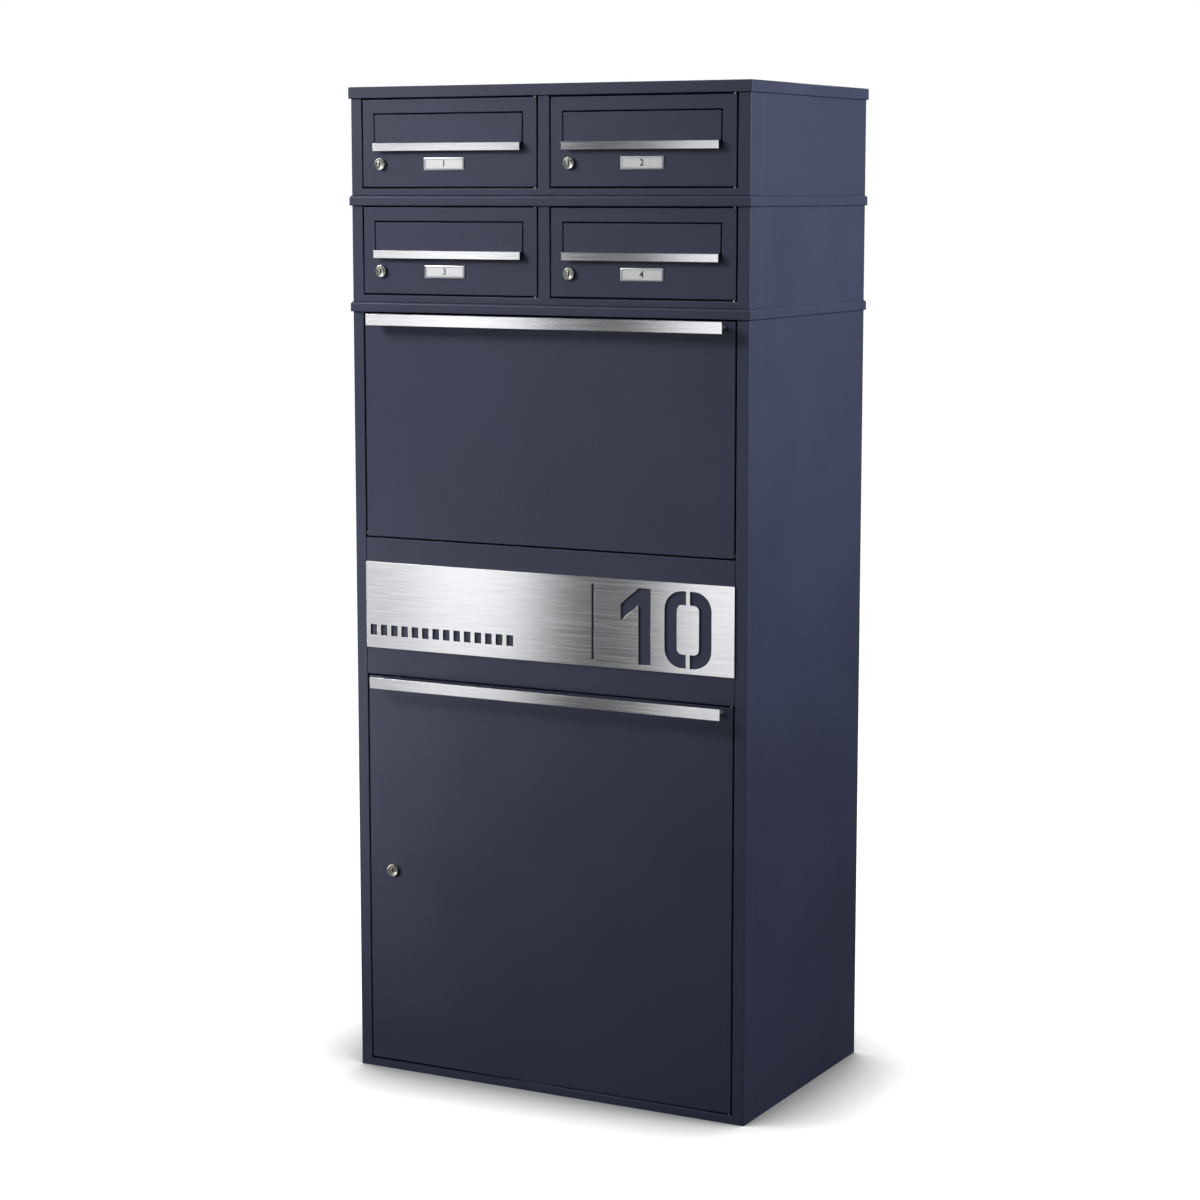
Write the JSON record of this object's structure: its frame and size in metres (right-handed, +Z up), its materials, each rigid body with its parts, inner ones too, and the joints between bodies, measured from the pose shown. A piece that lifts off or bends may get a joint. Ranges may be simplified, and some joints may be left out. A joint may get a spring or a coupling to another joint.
{
  "type": "cluster mailbox unit",
  "caption": "Free-standing steel mailbox tower: rows of lockable letterboxes with slot flaps over a parcel box with a tilting drop hopper and a lockable door.",
  "frame": {"origin": "middle of the body's footprint at floor level", "axes": "+Z up, -Y towards the doors, +X to the right seen from the front"},
  "size_m": [0.706, 0.463, 1.6],
  "materials": {
    "powder_coated_steel": "fine-textured matt anthracite powder coat",
    "brushed_stainless": "lengthwise satin brushed",
    "zinc_plated_steel": "bright zinc plated",
    "nickel_plated_lock": "satin nickel plated die casting",
    "buffer_rubber": "moulded, light grey",
    "name_plate_plastic": "clear cover over a blank white card"
  },
  "bodies": {
    "cabinet": {"floor_plate": "powder_coated_steel", "parcel_casing": "powder_coated_steel", "parcel_frame": "powder_coated_steel", "fascia_panel": "powder_coated_steel", "address_plate": "brushed_stainless", "collar_1": "powder_coated_steel", "collar_2": "powder_coated_steel", "row_casing_1": "powder_coated_steel", "row_casing_2": "powder_coated_steel", "row_frame_1": "powder_coated_steel", "row_frame_2": "powder_coated_steel", "row_partition_1": "powder_coated_steel", "row_partition_2": "powder_coated_steel", "top_cap": "powder_coated_steel", "letter_stops": "powder_coated_steel", "letter_hinge_pins": "zinc_plated_steel", "parcel_hinge_pins": "zinc_plated_steel", "flap_pivot_pins": "zinc_plated_steel", "module_bolts": "zinc_plated_steel"},
    "letter_door_1": {"letter_door_1": "powder_coated_steel", "flap_rod_1": "zinc_plated_steel", "lock_housing_1": "nickel_plated_lock", "name_plate_1": "name_plate_plastic"},
    "letter_flap_1": {"letter_flap_1": "powder_coated_steel", "flap_handle_1": "brushed_stainless"},
    "letter_lock_1": {"lock_plug_1": "nickel_plated_lock", "lock_cam_1": "zinc_plated_steel"},
    "letter_door_2": {"letter_door_2": "powder_coated_steel", "flap_rod_2": "zinc_plated_steel", "lock_housing_2": "nickel_plated_lock", "name_plate_2": "name_plate_plastic"},
    "letter_flap_2": {"letter_flap_2": "powder_coated_steel", "flap_handle_2": "brushed_stainless"},
    "letter_lock_2": {"lock_plug_2": "nickel_plated_lock", "lock_cam_2": "zinc_plated_steel"},
    "letter_door_3": {"letter_door_3": "powder_coated_steel", "flap_rod_3": "zinc_plated_steel", "lock_housing_3": "nickel_plated_lock", "name_plate_3": "name_plate_plastic"},
    "letter_flap_3": {"letter_flap_3": "powder_coated_steel", "flap_handle_3": "brushed_stainless"},
    "letter_lock_3": {"lock_plug_3": "nickel_plated_lock", "lock_cam_3": "zinc_plated_steel"},
    "letter_door_4": {"letter_door_4": "powder_coated_steel", "flap_rod_4": "zinc_plated_steel", "lock_housing_4": "nickel_plated_lock", "name_plate_4": "name_plate_plastic"},
    "letter_flap_4": {"letter_flap_4": "powder_coated_steel", "flap_handle_4": "brushed_stainless"},
    "letter_lock_4": {"lock_plug_4": "nickel_plated_lock", "lock_cam_4": "zinc_plated_steel"},
    "parcel_door": {"parcel_door": "powder_coated_steel", "parcel_door_handle": "brushed_stainless", "parcel_door_buffers": "buffer_rubber", "parcel_lock_housing": "nickel_plated_lock"},
    "parcel_lock": {"parcel_lock_plug": "nickel_plated_lock", "parcel_lock_cam": "zinc_plated_steel"},
    "parcel_flap": {"parcel_flap": "powder_coated_steel", "parcel_flap_handle": "brushed_stainless", "parcel_hopper": "powder_coated_steel"}
  },
  "joints": [
    {"name": "letter_door_1_hinge", "type": "hinge", "parent": "cabinet", "child": "letter_door_1", "pos_m": [-0.017, -0.216, 1.5115], "axis": [0, 0, 1], "range_deg": [0, 110]},
    {"name": "letter_flap_1_hinge", "type": "hinge", "parent": "letter_door_1", "child": "letter_flap_1", "pos_m": [-0.172, -0.2165, 1.553], "axis": [-1, 0, 0], "range_deg": [0, 80]},
    {"name": "letter_lock_1_turn", "type": "hinge", "parent": "letter_door_1", "child": "letter_lock_1", "pos_m": [-0.295, -0.22, 1.479], "axis": [0, -1, 0], "range_deg": [0, 90]},
    {"name": "letter_door_2_hinge", "type": "hinge", "parent": "cabinet", "child": "letter_door_2", "pos_m": [0.323, -0.216, 1.5115], "axis": [0, 0, 1], "range_deg": [0, 110]},
    {"name": "letter_flap_2_hinge", "type": "hinge", "parent": "letter_door_2", "child": "letter_flap_2", "pos_m": [0.168, -0.2165, 1.553], "axis": [-1, 0, 0], "range_deg": [0, 80]},
    {"name": "letter_lock_2_turn", "type": "hinge", "parent": "letter_door_2", "child": "letter_lock_2", "pos_m": [0.045, -0.22, 1.479], "axis": [0, -1, 0], "range_deg": [0, 90]},
    {"name": "letter_door_3_hinge", "type": "hinge", "parent": "cabinet", "child": "letter_door_3", "pos_m": [-0.017, -0.216, 1.3435], "axis": [0, 0, 1], "range_deg": [0, 110]},
    {"name": "letter_flap_3_hinge", "type": "hinge", "parent": "letter_door_3", "child": "letter_flap_3", "pos_m": [-0.172, -0.2165, 1.385], "axis": [-1, 0, 0], "range_deg": [0, 80]},
    {"name": "letter_lock_3_turn", "type": "hinge", "parent": "letter_door_3", "child": "letter_lock_3", "pos_m": [-0.295, -0.22, 1.311], "axis": [0, -1, 0], "range_deg": [0, 90]},
    {"name": "letter_door_4_hinge", "type": "hinge", "parent": "cabinet", "child": "letter_door_4", "pos_m": [0.323, -0.216, 1.3435], "axis": [0, 0, 1], "range_deg": [0, 110]},
    {"name": "letter_flap_4_hinge", "type": "hinge", "parent": "letter_door_4", "child": "letter_flap_4", "pos_m": [0.168, -0.2165, 1.385], "axis": [-1, 0, 0], "range_deg": [0, 80]},
    {"name": "letter_lock_4_turn", "type": "hinge", "parent": "letter_door_4", "child": "letter_lock_4", "pos_m": [0.045, -0.22, 1.311], "axis": [0, -1, 0], "range_deg": [0, 90]},
    {"name": "parcel_door_hinge", "type": "hinge", "parent": "cabinet", "child": "parcel_door", "pos_m": [0.323, -0.216, 0.3365], "axis": [0, 0, 1], "range_deg": [0, 95]},
    {"name": "parcel_lock_turn", "type": "hinge", "parent": "parcel_door", "child": "parcel_lock", "pos_m": [-0.284, -0.22, 0.336], "axis": [0, -1, 0], "range_deg": [0, 90]},
    {"name": "parcel_flap_hinge", "type": "hinge", "parent": "cabinet", "child": "parcel_flap", "pos_m": [0, -0.216, 0.89], "axis": [1, 0, 0], "range_deg": [0, 45]}
  ]
}
